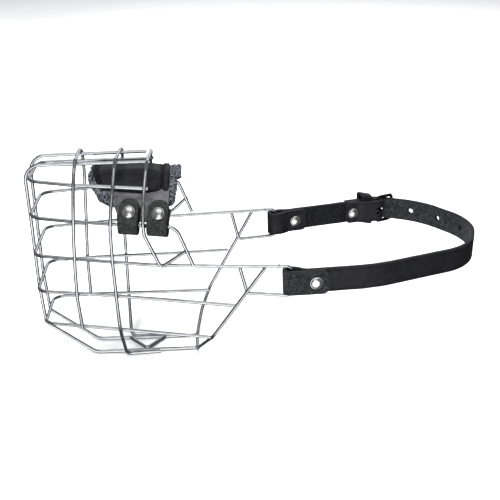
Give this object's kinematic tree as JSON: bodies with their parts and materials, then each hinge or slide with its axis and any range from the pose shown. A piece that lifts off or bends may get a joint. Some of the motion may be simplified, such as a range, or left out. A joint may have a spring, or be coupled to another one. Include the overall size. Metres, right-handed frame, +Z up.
{
  "type": "basket muzzle",
  "caption": "Welded wire basket muzzle for a large dog, with a padded leather bridge over the nose and a buckled leather neck strap.",
  "frame": {"origin": "halfway between the two upright ear bars that carry the neck strap, at their middle height", "axes": "+X runs back from the nose towards the neck, +Y towards the buckle side, +Z up"},
  "size_m": [0.3503, 0.1565, 0.1648],
  "materials": {
    "chrome_wire": "bright plated wire",
    "nickel": "polished rivet caps",
    "black_leather": "smooth black grain leather",
    "suede": "rough flesh side of black leather",
    "felt": "napped wool felt",
    "buckle_steel": "darkened wire buckle"
  },
  "bodies": {
    "basket": {"bottom_brace": "chrome_wire", "chin_wire": "chrome_wire", "ear_loop_left": "chrome_wire", "ear_loop_right": "chrome_wire", "hoop_front": "chrome_wire", "hoop_middle": "chrome_wire", "hoop_rear": "chrome_wire", "pad_cover": "black_leather", "pad_felt": "felt", "pad_rivet_front_left": "nickel", "pad_rivet_front_right": "nickel", "pad_rivet_rear_left": "nickel", "pad_rivet_rear_right": "nickel", "pad_skirt_left": "black_leather", "pad_skirt_right": "black_leather", "pad_tab_front_left": "suede", "pad_tab_front_right": "suede", "pad_tab_rear_left": "suede", "pad_tab_rear_right": "suede", "profile_wire_left": "chrome_wire", "profile_wire_right": "chrome_wire", "ring_wire_1": "chrome_wire", "ring_wire_2": "chrome_wire", "ring_wire_3": "chrome_wire", "ring_wire_4": "chrome_wire", "ring_wire_5": "chrome_wire"},
    "neck_strap": {"long_strap": "black_leather", "short_strap": "black_leather", "strap_rivet_left": "nickel", "strap_rivet_right": "nickel", "chape_rivet": "nickel", "keeper_loop": "black_leather"},
    "buckle_frame": {"buckle_frame": "buckle_steel"},
    "buckle_tongue": {"buckle_tongue": "buckle_steel"}
  },
  "joints": [
    {"name": "neck_strap_tilt", "type": "hinge", "parent": "basket", "child": "neck_strap", "pos_m": [0, 0, 0], "axis": [0, 1, 0], "range_deg": [-7, 7]},
    {"name": "buckle_swing", "type": "hinge", "parent": "neck_strap", "child": "buckle_frame", "pos_m": [0.09408, 0.08124, 0], "axis": [0, 0, 1], "range_deg": [-5, 0]},
    {"name": "tongue_lift", "type": "hinge", "parent": "buckle_frame", "child": "buckle_tongue", "pos_m": [0.09408, 0.08124, 0], "axis": [0, 0, 1], "range_deg": [0, 12]}
  ]
}
